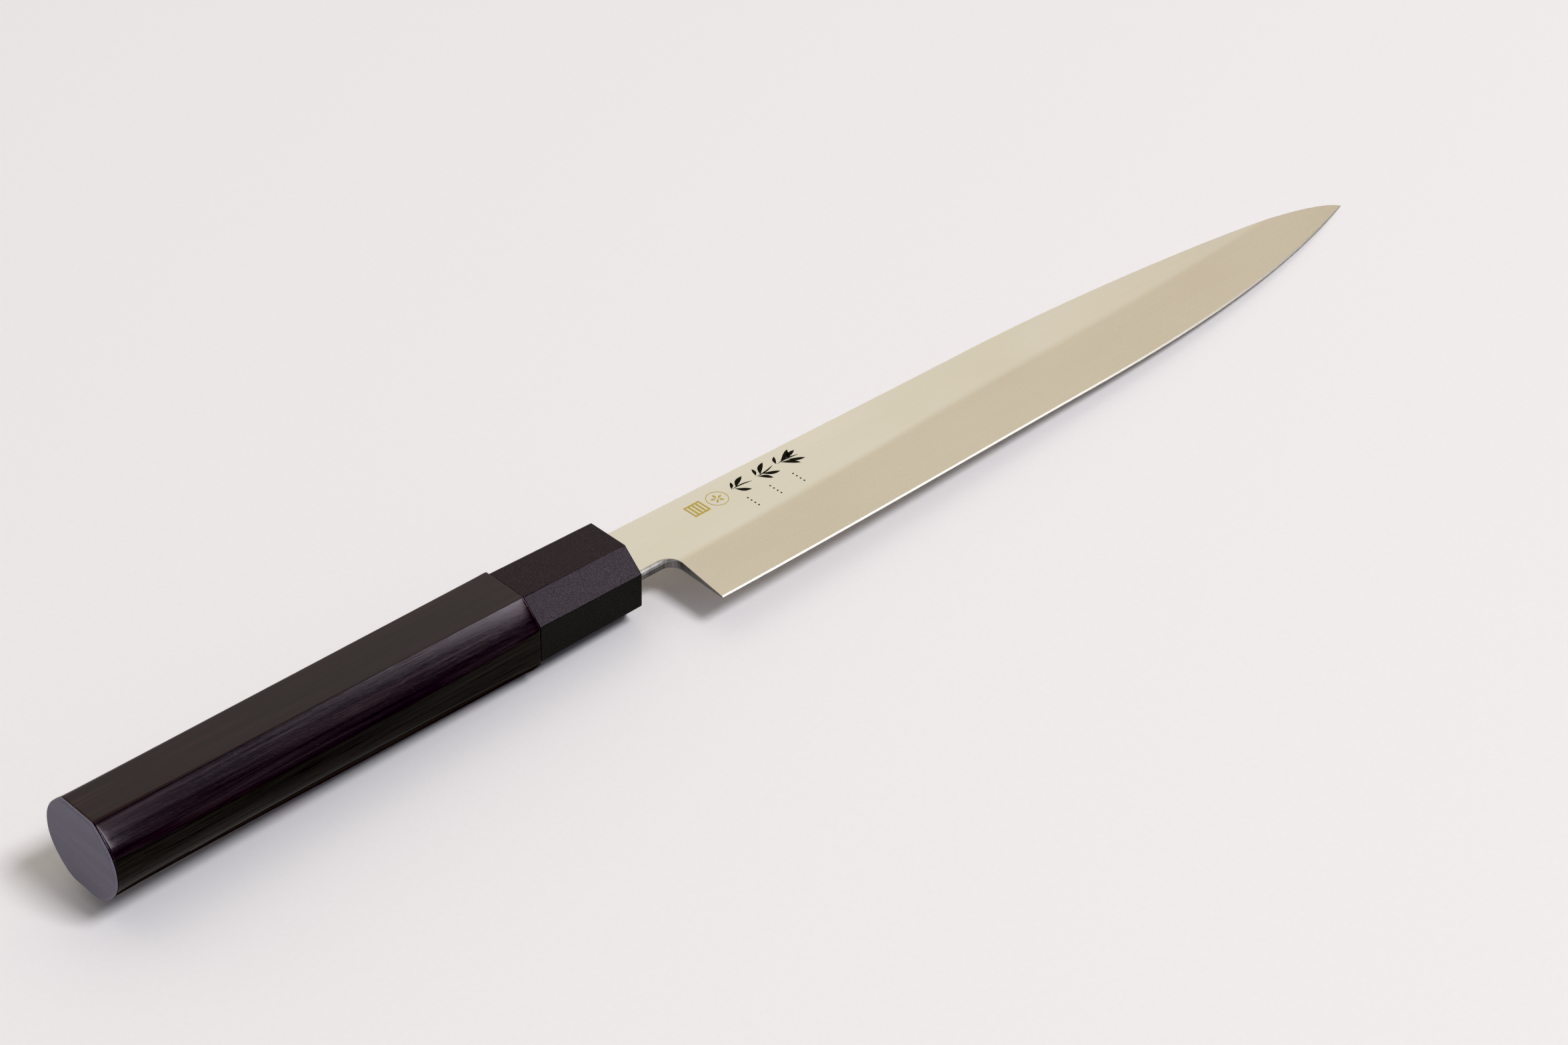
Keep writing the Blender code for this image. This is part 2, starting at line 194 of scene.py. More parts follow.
TANG_HOLE_END = -87.0
TANG_HOLE_HALF = (5.1, 2.1)
CUT_OVERLAP = 2.0
# Facet directions choose copies of one material that differ as painted light and shade: a duller
# copy on the upright sides, a lighter matt copy on the lower slants.
UPPER, SIDE, UNDER, BUTT = range(4)
SIDE_FACING = 0.90            # facets this upright are left duller than the slanting ones
SLANT_FACING = 0.30
UPPER_SHEEN = (1.0, 0.87, 0.98)
PLAIN_SHEEN = (1.0, 1.0, 1.0)

# Seal: distance along the knife, and how far it stands out from the neck.
SEAL_PROFILE = (
    (-2.2, 0.03), (-2.2, 0.52), (-0.35, 0.52), (-0.18, 0.48), (-0.06, 0.34),
    (0.0, 0.16), (-0.02, 0.03),
)
SEAL_CORNER = 0.08

# Printed marks.
INK_SINK = 0.01
INK_RISE = 0.02
INK_WEIGHT = 1.18
STROKE_STEPS = 14
STROKE_SWELL = 0.55           # where along a stroke it is widest
STROKE_POINT = 0.06
STROKE_TAPER = 0.8
DOT_ROWS = (48.9, 42.4, 36.1)
DOT_PLACES = (-2.1, -3.2, -4.3, -5.4)
DOT_RADIUS = 0.21
DOT_STEPS = 16
RING_CENTRE = (31.3, 1.9)
RING_RADIUS = 2.45
RING_WIDTH = 0.16
RING_STEPS = 48
PETALS = 5
PETAL_TURN = 0.3
PETAL_REACH = (0.25, 1.5)
PETAL_WIDTH = 0.42
SQUARE = (23.7, 27.9, 0.0, 3.9)
SQUARE_BORDER = 0.42
SQUARE_BARS = 3

# Camera at the photograph's viewing angle; distance and target in local millimetres.
CAMERA_AZIMUTH = math.radians(-134.714)
CAMERA_ELEVATION = math.radians(35.665)
CAMERA_ROLL = math.radians(1.343)
CAMERA_DISTANCE = 672.3
CAMERA_TARGET = (36.5, -12.3, 0.0)
CAMERA_LENS = 76.53
CAMERA_SENSOR = 36.0

FLOOR_HALF = 4.0
FLOOR_GAP = 0.00002


def smooth_curve(*stretches, steps=60):
    """Points of a chain of cubics, each given as start, two handles and end."""
    points = []
    for stretch in stretches:
        cubic = interpolate_bezier(*[Vector(point).to_3d() for point in stretch], steps + 1)
        points += [(point.x, point.y) for point in cubic[:-1]]
    points.append(stretches[-1][-1])
    return np.array(sorted(points))


EDGE_LINE = smooth_curve(
    (HEEL, (47.0, -22.0), (94.0, -20.9), EDGE_MID),
    (EDGE_MID, (172.0, -20.3), (200.0, -14.6), TIP),
)
SPINE_LINE = smooth_curve(
    ((0.0, NECK_SPINE), (44.0, 7.2), (80.0, 6.5), SPINE_MID),
    (SPINE_MID, (153.0, 5.7), (215.5, -1.5), TIP),
)
RIDGE_LINE = smooth_curve(
    ((-5.0, RIDGE_NECK), (60.0, RIDGE_NECK), (75.0, -6.3), RIDGE_MID),
    (RIDGE_MID, (150.0, -5.0), (195.0, -4.0), RIDGE_END),
)


def edge_y(x):
    """Y of the cutting edge at x."""
    return float(np.interp(x, EDGE_LINE[:, 0], EDGE_LINE[:, 1]))


def spine_y(x):
    """Y of the spine at x."""
    return float(np.interp(x, SPINE_LINE[:, 0], SPINE_LINE[:, 1]))


def ridge_y(x):
    """Y of the line where the bevel meets the flat."""
    return float(np.interp(x, RIDGE_LINE[:, 0], RIDGE_LINE[:, 1]))


def shrink(x):
    """One along most of the blade, falling to nothing at the tip with the blade's height."""
    return min(1.0, max(spine_y(x) - edge_y(x), 0.0) / FULL_HEIGHT)


def blend(first, second, share):
    """The tuple a share of the way from the first to the second."""
    return tuple(a + (b - a) * share for a, b in zip(first, second))


def final_width(x):
    """Width of the final bevel, narrowing towards the point."""
    return FINAL_WIDTH * max(shrink(x), LEAST_SHRINK)


def soft_min(first, second, softness):
    """The smaller of two heights, with a rounded change over from one to the other."""
    share = min(max(0.5 + 0.5 * (second - first) / softness, 0.0), 1.0)
    return second + (first - second) * share - softness * share * (1.0 - share)


def face_height(x, y):
    """Bevelled face: flat, soft ridge, long bevel, and the narrow final bevel at the edge."""
    edge, ridge = edge_y(x), ridge_y(x)
    width = final_width(x)
    shoulder = -HALF + EDGE_LAND + width * FINAL_SLOPE
    slope = (HALF - shoulder) / (ridge - edge - width)
    bevel = shoulder + (y - edge - width) * slope
    final = -HALF + EDGE_LAND + (y - edge) * FINAL_SLOPE
    return min(soft_min(HALF, bevel, RIDGE_SOFTNESS), final)


def back_height(x, y):
    """Flat back with a shallow hollow inside its rim."""
    share = (x - HOLLOW_START) / (HOLLOW_END - HOLLOW_START)
    if not 0.0 < share < 1.0:
        return -HALF
    low, high = edge_y(x) + HOLLOW_RIM, spine_y(x) - HOLLOW_RIM
    across = (y - low) / (high - low)
    if not 0.0 < across < 1.0:
        return -HALF
    depth = HOLLOW_DEPTH * math.sin(math.pi * share) ** HOLLOW_POWER
    return -HALF + depth * (1.0 - (2.0 * across - 1.0) ** 2)


def new_mesh(name, vertices, faces):
    """A piece from local millimetre points, placed in the frame."""
    mesh = bpy.data.meshes.new(name)
    placed = [ORIGIN + Vector(point) * MM for point in vertices]
    mesh.from_pydata(placed, [], faces)
    mesh.validate()
    mesh.update()
    piece = bpy.data.objects.new(name, mesh)
    bpy.context.scene.collection.objects.link(piece)
    return piece


def weld_and_smooth(piece, sharp_angle, weld=WELD):
    """Joins doubled points, turns faces outwards and keeps edges past the angle sharp."""
    shape = bmesh.new()
    shape.from_mesh(piece.data)
    bmesh.ops.remove_doubles(shape, verts=shape.verts, dist=weld * MM)
    bmesh.ops.dissolve_degenerate(shape, edges=shape.edges, dist=weld * MM)
    bmesh.ops.recalc_face_normals(shape, faces=shape.faces)
    shape.to_mesh(piece.data)
    shape.free()
    piece.data.shade_smooth()
    piece.data.set_sharp_from_angle(angle=math.radians(sharp_angle))


def weighted_normals(piece):
    """Keeps flat faces flat in shading next to their eased edges."""
    modifier = piece.modifiers.new("weighted_normals", "WEIGHTED_NORMAL")
    modifier.keep_sharp = True
    modifier.weight = FLAT_WEIGHT


# ---------------------------------------------------------------- blade


def row_positions(x):
    """Places of the mesh rows from edge to spine at x, and which row is the foot of the ridge."""
    edge, spine = edge_y(x), spine_y(x)
    scale = shrink(x)
    shoulder = edge + final_width(x)
    ridge = min(ridge_y(x), spine - RIDGE_CLEARANCE * scale)
    rows = [edge, edge + 0.5 * final_width(x), shoulder - SHOULDER_ROWS[0] * scale, shoulder]
    rows.append(shoulder + SHOULDER_ROWS[1] * scale)
    bevel_start, bevel_end = rows[-1], ridge + RIDGE_ROWS[0] * scale
    rows += [bevel_start + (bevel_end - bevel_start) * share for share in BEVEL_ROWS]
    foot = len(rows)
    rows += [ridge + offset * scale for offset in RIDGE_ROWS]
    flat_start = rows[-1]
    flat_end = spine - SPINE_EASE * scale
    rows += [flat_start + (flat_end - flat_start) * share for share in FLAT_ROWS]
    rows.append(spine)
    return rows, foot


def thickness(x, y):
    """Steel between face and back."""
    return face_height(x, y) - back_height(x, y)


def blade_columns():
    """Columns of outline stations: lower point, its inward normal and easing, then upper."""
    columns = []
    for step in range(TANG_STEPS):
        share = step / (TANG_STEPS - 1)
        x = TANG_END + (TANG_ROOT[0] - TANG_END) * share
        half = TANG_TIP_HALF + (TANG_ROOT[1] - TANG_TIP_HALF) * share
        columns.append(((x, -half), (0.0, 1.0), TANG_EASE, (x, half), TANG_EASE))
    for step in range(NECK_STEPS):
        share = step / NECK_STEPS
        x = NECK_INSIDE + (HEEL_BACK - CHOIL_RADIUS - NECK_INSIDE) * share
        columns.append(((x, NECK_BELLY), (0.0, 1.0), NECK_EASE, (x, spine_y(x)), SPINE_EASE))
    centre = (HEEL_BACK - CHOIL_RADIUS, NECK_BELLY - CHOIL_RADIUS)
    for step in range(CHOIL_STEPS):
        share = step / CHOIL_STEPS
        angle = math.pi / 2 * (1 - share)
        normal = (math.cos(angle), math.sin(angle))
        low = (centre[0] + CHOIL_RADIUS * normal[0], centre[1] + CHOIL_RADIUS * normal[1])
        x = centre[0] + CHOIL_RADIUS * share
        ease = NECK_EASE + (HEEL_EASE - NECK_EASE) * min(1.0, share * EASE_RATE) ** EASE_POWER
        columns.append((low, normal, ease, (x, spine_y(x)), SPINE_EASE))
    return columns


def blade_lines():
    """Lines of outline stations, each (first row, [(point, inward normal, easing), ...])."""
    rows, foot = row_positions(HEEL_BACK)
    count = len(rows)
    fractions = [(y - rows[foot]) / (rows[-1] - rows[foot]) for y in rows[foot:]]
    lines = []
    for low, normal, ease, high, high_ease in blade_columns():
        line = []
        eased = (low[0] + normal[0] * ease * ROW_GAP, low[1] + normal[1] * ease * ROW_GAP)
        for offset, share in enumerate(fractions):
            share = (offset - 1) / NECK_ROW_PITCH if offset < NECK_ROWS else share
            point = blend(eased, high, share)
            if offset == 0:
                line.append((low, normal, ease))
            elif offset == len(fractions) - 1:
                line.append((high, (0.0, -1.0), high_ease))
            else:
                line.append((point, None, 0.0))
        lines.append((foot, line))
    for column in range(BLADE_COLUMNS + 1):
        even = column / BLADE_COLUMNS
        share = EVEN_SHARE * even + (1 - EVEN_SHARE) * (1 - math.cos(math.pi * even)) / 2
        x_mid = HEEL_BACK + (TIP[0] - HEEL_BACK) * share
        positions, _ = row_positions(x_mid)
        line = []
        for index, y in enumerate(positions):
            start = HEEL_BACK
            if y < rows[foot]:
                start -= (HEEL_BACK - HEEL[0]) * (rows[foot] - y) / (rows[foot] - rows[0])
            x = start + (TIP[0] - start) * share
            if column == 0 and index > foot:
                x += HEEL_LEAN * (rows[-1] - y) / (rows[-1] - rows[foot])
            normal, ease = None, 0.0
            if index == 0:
                normal, ease = (0.0, 1.0), HEEL_EASE
            elif index == count - 1:
                normal, ease = (0.0, -1.0), SPINE_EASE * max(shrink(x_mid), LEAST_EASE)
            if column == 0 and index <= foot:
                normal, ease = (1.0, 0.0), HEEL_EASE
            if column == 0 and index == 0:
                normal, ease = HEEL_INWARD, HEEL_EASE
            line.append(((x, y), normal, ease))
        lines.append((0, line))
    return lines, count


def wall_ring(point, front, front_z, front_ease, rear, rear_z, rear_ease):
    """Points down the outline's wall: a quarter round off the face, then one onto the back."""
    x, y = point
    face_steps = range(ARC_STEPS + 1)
    ring = []
    for inner, z, fall, steps in (
        (front, front_z, -front_ease, face_steps),
        (rear, rear_z, rear_ease, reversed(face_steps)),
    ):
        for step in steps:
            turn = math.pi / 2 * step / ARC_STEPS
            reach = 1 - math.sin(turn)
            height = z + fall * (1 - math.cos(turn))
            ring.append((x + (inner[0] - x) * reach, y + (inner[1] - y) * reach, height))
    return ring


def build_blade():
    """Face and back as two matching grids, joined by eased walls round the whole outline."""
    lines, count = blade_lines()
    vertices, faces, kinds = [], [], []
    top, back = {}, {}
    outline = {}
    for i, (first, line) in enumerate(lines):
        for offset, (point, normal, ease) in enumerate(line):
            key = (i, first + offset)
            x, y = point
            if normal is None:
                top[key] = len(vertices)
                vertices.append((x, y, face_height(x, y)))
                back[key] = len(vertices)
                vertices.append((x, y, back_height(x, y)))
                continue
            inside = (x + normal[0] * PROBE, y + normal[1] * PROBE)
            room = max(thickness(*inside), PROBE)
            front_ease = min(ease, FRONT_ROOM * room)
            rear_ease = min(BACK_EASE, BACK_ROOM * room)
            front = (x + normal[0] * front_ease, y + normal[1] * front_ease)
            rear = (x + normal[0] * rear_ease, y + normal[1] * rear_ease)
            front_z, rear_z = face_height(*front), back_height(*rear)
            front_ease = min(front_ease, DROP_ROOM * (front_z - rear_z))
            wall = wall_ring(point, front, front_z, front_ease, rear, rear_z, rear_ease)
            ring = list(range(len(vertices), len(vertices) + len(wall)))
            vertices += wall
            top[key], back[key] = ring[0], ring[-1]
            outline[key] = ring
    for i in range(len(lines) - 1):
        low = max(lines[i][0], lines[i + 1][0])
        for j in range(low, count - 1):
            corners = [(i, j), (i + 1, j), (i + 1, j + 1), (i, j + 1)]
            faces.append([top[key] for key in corners])
            kinds.append(FINAL if j < FINAL_ROWS and lines[i][0] == 0 else FACE)
            faces.append([back[key] for key in reversed(corners)])
            kinds.append(FACE)
    foot = lines[0][0]
    last = len(lines) - 1
    first_full = next(i for i, (first, _) in enumerate(lines) if first == 0)
    loop = [(i, foot) for i in range(first_full + 1)]
    loop += [(first_full, j) for j in range(foot - 1, -1, -1)]
    loop += [(i, 0) for i in range(first_full + 1, last + 1)]
    upper = [(i, count - 1) for i in range(last, -1, -1)]
    for chain, wall_kind in ((loop, BAND), (upper, FACE)):
        for a, b in zip(chain, chain[1:]):
            edge_wall = a[1] == 0 and b[1] == 0
            for k in range(len(outline[a]) - 1):
                faces.append([outline[a][k], outline[a][k + 1], outline[b][k + 1], outline[b][k]])
                # The rounded band takes the lighter copy, painted light; the wall under it and the
                # edge's wall take the darker copy, painted shade.
                under_band = wall_kind == BAND and k >= ARC_STEPS
                kinds.append(WALL if edge_wall or under_band else wall_kind)
    end_top = [top[(0, j)] for j in range(foot, count)]
    end_back = [back[(0, j)] for j in range(count - 1, foot - 1, -1)]
    lower_ring, upper_ring = outline[(0, foot)], outline[(0, count - 1)]
    faces.append(end_top + upper_ring[1:-1] + end_back + list(reversed(lower_ring[1:-1])))
    kinds.append(FACE)
    return vertices, faces, kinds


def make_blade():
    """The ground blade with its tang, in one piece and four materials: face, final bevel, and a
    lighter and a darker copy of the wall steel, which are painted light and painted shade.
    """
    vertices, faces, kinds = build_blade()
    blade = new_mesh("blade_ground", vertices, faces)
    wall = ground_wall_steel_painted_shading("ground_wall_steel_painted_shading", 0.13, 0.27)
    band = ground_wall_steel_painted_shading("ground_band_steel_painted_light", 0.36, 0.62)
    for skin in (blade_steel(), edge_steel(), band, wall):
        blade.data.materials.append(skin)
    for polygon, kind in zip(blade.data.polygons, kinds):
        polygon.material_index = kind
    weld_and_smooth(blade, BLADE_SHARP)
    weighted_normals(blade)
    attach(blade, "root")
    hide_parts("blade")


# ---------------------------------------------------------------- printed marks


def stroke(parts, start, end, width, bend=0.0):
    """A brush stroke: thin where it starts and ends, widest part way, and a little bent."""
    vertices, faces = parts
    first = len(vertices)
    along = Vector(end) - Vector(start)
    across = Vector((-along.y, along.x)).normalized()
    for step in range(STROKE_STEPS + 1):
        share = step / STROKE_STEPS
        middle = Vector(start) + along * share + across * bend * math.sin(math.pi * share)
        fullness = math.sin(math.pi * share ** (math.log(0.5) / math.log(STROKE_SWELL)))
        half = INK_WEIGHT * width / 2 * max(fullness, STROKE_POINT) ** STROKE_TAPER
        for side, height in ((-1, -INK_SINK), (1, -INK_SINK), (1, INK_RISE), (-1, INK_RISE)):
            point = middle + across * half * side
            vertices.append((point.x, point.y, HALF + height))
    for step in range(STROKE_STEPS):
        a, b = first + 4 * step, first + 4 * (step + 1)
        for corner in range(4):
            following = (corner + 1) % 4
            faces.append([a + corner, b + corner, b + following, a + following])
    last = first + 4 * STROKE_STEPS
    faces.append([first, first + 1, first + 2, first + 3])
    faces.append([last + 3, last + 2, last + 1, last])


def ink_prism(parts, outer, inner=None):
    """A flat printed area, or a ring when an inner outline of as many points is given."""
    vertices, faces = parts
    first, count = len(vertices), len(outer)
    for outline in (outer, inner or []):
        for height in (-INK_SINK, INK_RISE):
            vertices.extend((x, y, HALF + height) for x, y in outline)
    for index in range(count):
        following = (index + 1) % count
        low, high = first, first + count
        faces.append([low + index, low + following, high + following, high + index])
        if inner:
            in_low, in_high = first + 2 * count, first + 3 * count
            faces.append([in_low + index, in_high + index, in_high + following, in_low + following])
            faces.append([high + index, high + following, in_high + following, in_high + index])
            faces.append([low + index, in_low + index, in_low + following, low + following])
    if not inner:
        faces.append([first + count + index for index in range(count)])
        faces.append([first + count - 1 - index for index in range(count)])


def circle(centre, radius, count):
    turns = [2 * math.pi * index / count for index in range(count)]
    return [(centre[0] + radius * math.cos(t), centre[1] + radius * math.sin(t)) for t in turns]


def rectangle(x_low, x_high, y_low, y_high):
    return [(x_low, y_low), (x_high, y_low), (x_high, y_high), (x_low, y_high)]


# Three generic sprigs of grass in brush strokes: start, end, width and bend.
SPRIGS = (
    ((48.9, 2.6), (54.5, 2.2), 0.34, 0.35),
    ((50.2, 2.9), (53.9, 5.0), 0.95, -0.30),
    ((49.9, 2.5), (52.9, -0.2), 0.90, 0.30),
    ((51.8, 2.7), (54.9, 3.9), 0.80, 0.22),
    ((51.6, 2.4), (54.8, 0.5), 0.78, -0.24),
    ((48.7, 2.7), (50.1, 4.9), 0.62, 0.20),
    ((42.6, 2.2), (47.8, 2.9), 0.32, -0.30),
    ((43.7, 2.2), (46.9, 5.0), 0.92, 0.32),
    ((44.2, 2.2), (47.6, 0.4), 0.86, -0.22),
    ((42.9, 2.0), (44.9, -0.4), 0.84, 0.26),
    ((42.7, 2.5), (43.6, 4.7), 0.62, -0.16),
    ((35.6, 2.2), (40.9, 1.7), 0.30, 0.30),
    ((36.9, 2.3), (40.3, 4.3), 0.94, 0.28),
    ((36.4, 2.0), (38.9, -0.3), 0.86, -0.26),
    ((35.7, 2.4), (37.1, 4.2), 0.60, -0.16),
)


def ink_object(name, parts, skin):
    """A printed piece that stays on the blade."""
    piece = new_mesh(name, *parts)
    piece.data.materials.append(skin)
    weld_and_smooth(piece, CUT_SHARP, FINE_WELD)
    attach(piece, "root")
    return piece


def make_sprigs():
    """Three sprigs in a row, each with a dotted line below."""
    black = ([], [])
    for start, end, width, bend in SPRIGS:
        stroke(black, start, end, width, bend)
    for x in DOT_ROWS:
        for y in DOT_PLACES:
            ink_prism(black, circle((x, y), DOT_RADIUS, DOT_STEPS))
    ink_object("printed_sprigs", black, black_ink())


def make_printed_seal():
    """A ring round a five-petalled flower, and a square with stripes."""
    gold = ([], [])
    outer = circle(RING_CENTRE, RING_RADIUS, RING_STEPS)
    ink_prism(gold, outer, circle(RING_CENTRE, RING_RADIUS - RING_WIDTH, RING_STEPS))
    middle = Vector(RING_CENTRE)
    for petal in range(PETALS):
        angle = 2 * math.pi * petal / PETALS + PETAL_TURN
        reach = Vector((math.cos(angle), math.sin(angle)))
        stroke(gold, middle + reach * PETAL_REACH[0], middle + reach * PETAL_REACH[1], PETAL_WIDTH)
    x_low, x_high, y_low, y_high = SQUARE
    border = SQUARE_BORDER
    inner = rectangle(x_low + border, x_high - border, y_low + border, y_high - border)
    ink_prism(gold, rectangle(*SQUARE), inner)
    pitch = (x_high - x_low - 2 * border) / (2 * SQUARE_BARS + 1)
    for bar in range(SQUARE_BARS):
        start = x_low + border + pitch * (2 * bar + 1)
        ink_prism(gold, rectangle(start, start + pitch, y_low + border, y_high - border))
    ink_object("printed_seal", gold, gold_ink())


# ---------------------------------------------------------------- handle


def corner_arc(before, corner, after, radius, steps):
    """Points round a corner between two straight runs."""
    to_before = (Vector(before) - Vector(corner)).normalized()
    to_after = (Vector(after) - Vector(corner)).normalized()
    half_angle = to_before.angle(to_after) / 2
    bisector = (to_before + to_after).normalized()
    centre = Vector(corner) + bisector * (radius / math.sin(half_angle))
    tangent = radius / math.tan(half_angle)
    start = (Vector(corner) + to_before * tangent - centre).normalized()
    end = (Vector(corner) + to_after * tangent - centre).normalized()
    return [centre + start.slerp(end, step / steps) * radius for step in range(steps + 1)]


def octagon(section, radii, crown=0.0, belly_steps=EDGE_STEPS):
    """Rounded octagon as (y, z) points; radii are for the top, belly and bottom corners."""
    flat, height, width, side = section
    edge_radius, belly_radius, keel_radius = radii
    quarter = [(width, side, belly_radius, belly_steps), (flat, height, edge_radius, EDGE_STEPS)]
    corners = list(quarter)
    corners += [(-y, z, radius, steps) for y, z, radius, steps in reversed(quarter)]
    quarter[1] = (flat, height, keel_radius, EDGE_STEPS)
    corners += [(-y, -z, radius, steps) for y, z, radius, steps in quarter]
    corners += [(y, -z, radius, steps) for y, z, radius, steps in reversed(quarter)]
    arcs = []
    for index, (y, z, radius, steps) in enumerate(corners):
        before = corners[index - 1][:2]
        after = corners[(index + 1) % len(corners)][:2]
        arcs.append(corner_arc(before, (y, z), after, radius, steps))
    points = []
    for index, arc in enumerate(arcs):
        following = arcs[(index + 1) % len(arcs)]
        points += [tuple(point) for point in arc]
        slanting = index % 2 == 0
        run = following[0] - arc[-1]
        outward = Vector((run.y, -run.x)).normalized()
        for share in FACET_SHARES:
            swell = crown * (1 - (2 * share - 1) ** 2) if slanting else 0.0
            points.append(tuple(arc[-1] + run * share + outward * swell))
    return points


def inset(section, distance):
    """The same octagon with every side moved in."""
    shift = distance * math.tan(math.pi / 8)
    flat, height, width, side = section
    return (flat - shift, height - distance, width - distance, side - shift)


def loft(name, rings):
    """Closed solid through rings given as (x, [(y, z), ...])."""
    vertices, faces = [], []
    count = len(rings[0][1])
    for x, ring in rings:
        vertices += [(x, y, z) for y, z in ring]
    for level in range(len(rings) - 1):
        a, b = level * count, (level + 1) * count
        for index in range(count):
            following = (index + 1) % count
            faces.append([a + index, a + following, b + following, b + index])
    faces.append(list(range(count)))
    faces.append([(len(rings) - 1) * count + index for index in range(count)])
    return new_mesh(name, vertices, faces)


def grip_ring(share, rim=0.0):
    """Section of the grip a share of the way from the seam to the butt."""
    section = list(inset(blend(GRIP_SEAM, GRIP_BUTT, share), rim))
    section[3] -= SIDE_DIP * max(math.sin(math.pi * share), 0.0) ** DIP_POWER
    crown = CROWN_SEAM + (CROWN_BUTT - CROWN_SEAM) * share
    radii = (
        GRIP_EDGE + (BUTT_EDGE - GRIP_EDGE) * share ** 2,
        GRIP_BELLY + BELLY_GROWTH * share ** 1.5,
        GRIP_EDGE + (BUTT_KEEL - GRIP_EDGE) * share ** 2,
    )
    radii = [max(radius - rim, LEAST_RADIUS) for radius in radii]
    return octagon(section, radii, crown, GRIP_BELLY_STEPS)


def painted_shading_slot(normal):
    """Material slot by facet direction, for painted light and shade: flats and upper slants,
    upright sides, or lower slants.
    """
    if abs(normal.y) > SIDE_FACING:
        return SIDE
    lower_slant = normal.z < -SLANT_FACING and abs(normal.y) > SLANT_FACING
    return UNDER if lower_slant else UPPER


def make_grip():
    """Laminated wood body, crisp at the seam, rounder at the butt, with an eased rim."""
    rings = []
    for angle in (0, 30, 60, 90):
        turn = math.radians(angle)
        x = GRIP_SEAM_X - SEAM_EASE * (1 - math.cos(turn))
        rings.append((x, grip_ring(0.0, SEAM_EASE * (1 - math.sin(turn)))))
    start = GRIP_SEAM_X - SEAM_EASE
    for station in range(1, GRIP_STATIONS + 1):
        share = (1 - math.cos(math.pi * station / GRIP_STATIONS)) / 2
        rings.append((start + (GRIP_END_X + BUTT_RIM - start) * share, grip_ring(share)))
    for angle in (22, 45, 68, 90):
        turn = math.radians(angle)
        x = GRIP_END_X + BUTT_RIM * (1 - math.sin(turn))
        rings.append((x, grip_ring(1.0, BUTT_RIM * (1 - math.cos(turn)))))
    grip = loft("grip_body", rings)
    bore = circle((0, 0), BORE_RADIUS, BORE_STEPS)
    cut_out(grip, "grip_bore", (DOWEL_END, GRIP_SEAM_X + 2 * CUT_OVERLAP), bore)
    tang_hole = box_ring(*TANG_HOLE_HALF)
    cut_out(grip, "grip_tang_hole", (TANG_HOLE_END, DOWEL_END + CUT_OVERLAP), tang_hole)
    # Painted shade and light by facet direction: the upright sides are a near-matt copy of the wood
    # with flatter streaks, darker than gloss would leave them, and the lower slants a matt copy
    # whose lighter base colour stands in for light they don't get.
    upper = grip_wood("grip_wood", 0.42, (0.0080, 0.0043, 0.0042), UPPER_SHEEN)
    sides = grip_wood("grip_wood_sides_painted_shading", 0.04, (0.0210, 0.0212, 0.0182), PLAIN_SHEEN, 1.35)
    under = grip_wood("grip_wood_under_painted_light", 0.0, (0.036, 0.035, 0.031), PLAIN_SHEEN, 1.35)
    for skin in (upper, sides, under, butt_wood()):
        grip.data.materials.append(skin)
    weld_and_smooth(grip, HANDLE_SHARP)
    for polygon in grip.data.polygons:
        on_butt = polygon.center.x < GRIP_LOW.x + BUTT_SKIN * BUTT_RIM * MM
        polygon.material_index = BUTT if on_butt else painted_shading_slot(polygon.normal)
    weighted_normals(grip)
    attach(grip, "root")
    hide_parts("grip")


def box_ring(half_y, half_z, centre_y=0.0):
    """A plain rectangle, as (y, z) points."""
    return [
        (half_y + centre_y, half_z), (centre_y - half_y, half_z),
        (centre_y - half_y, -half_z), (half_y + centre_y, -half_z),
    ]


def cut_out(target, name, x_range, ring):
    """Cuts a straight hole of the ring's section, with a hidden cutter that stays in the scene."""
    cutter = loft(name, [(x, ring) for x in x_range])
    weld_and_smooth(cutter, CUT_SHARP)
    cutter.hide_render = True
    modifier = target.modifiers.new(name, "BOOLEAN")
    modifier.operation = "DIFFERENCE"
    modifier.solver = "EXACT"
    modifier.object = cutter


